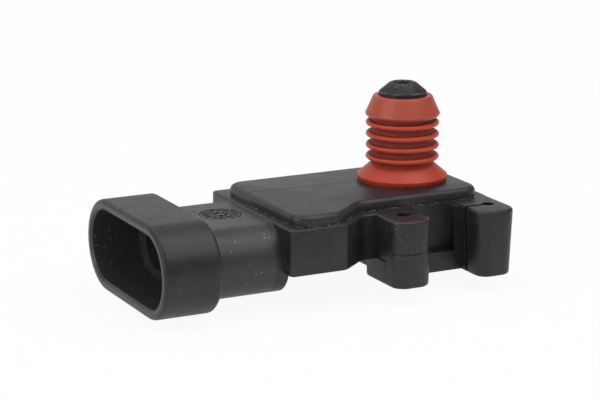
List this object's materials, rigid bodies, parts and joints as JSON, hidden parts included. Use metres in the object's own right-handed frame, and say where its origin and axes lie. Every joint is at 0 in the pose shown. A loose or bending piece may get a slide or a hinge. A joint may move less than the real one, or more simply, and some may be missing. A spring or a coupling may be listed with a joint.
{
  "type": "manifold absolute pressure sensor",
  "caption": "Moulded pressure sensor with a flat oval blade socket, a stepped housing with clip bosses, and an upright port under a ribbed rubber seal.",
  "frame": {"origin": "on the port's axis, level with the flat top face of the cover that the seal stands on", "axes": "+Z along the port, away from the housing; +X from the socket's mouth towards the port end; +Y away from the two clip bosses"},
  "size_m": [0.066, 0.0371, 0.0344],
  "materials": {
    "housing_plastic": "black glass-filled moulding, satin",
    "cover_plastic": "black glass-filled moulding, satin",
    "seal_rubber": "brick-red silicone, slightly glossy",
    "sealant": "cured adhesive",
    "terminal_alloy": "tin-plated copper alloy",
    "substrate_ceramic": "fired alumina",
    "pedestal_glass": "borosilicate glass",
    "silicon": "polished silicon",
    "dam_plastic": "black moulded ring",
    "gel": "soft clear silicone gel",
    "chip_part_ceramic": "fired ceramic chip",
    "bond_aluminium": "drawn wire",
    "bond_gold": "gold wire"
  },
  "bodies": {
    "root": {"housing": "housing_plastic", "port_cover": "cover_plastic", "port_seal": "seal_rubber", "cover_sealant": "sealant", "terminal_ground": "terminal_alloy", "terminal_signal": "terminal_alloy", "terminal_supply": "terminal_alloy", "terminal_sealant": "sealant", "circuit_substrate": "substrate_ceramic", "substrate_adhesive": "sealant", "glass_pedestal": "pedestal_glass", "pedestal_adhesive": "sealant", "pressure_die": "silicon", "gel_dam": "dam_plastic", "sensing_gel": "gel", "signal_chip": "silicon", "chip_adhesive": "sealant", "line_capacitor": "chip_part_ceramic", "supply_capacitor": "chip_part_ceramic", "pull_up_resistor": "chip_part_ceramic", "terminal_bond_wires": "bond_aluminium", "die_bond_wires": "bond_gold", "chip_bond_wires": "bond_gold"}
  },
  "joints": []
}
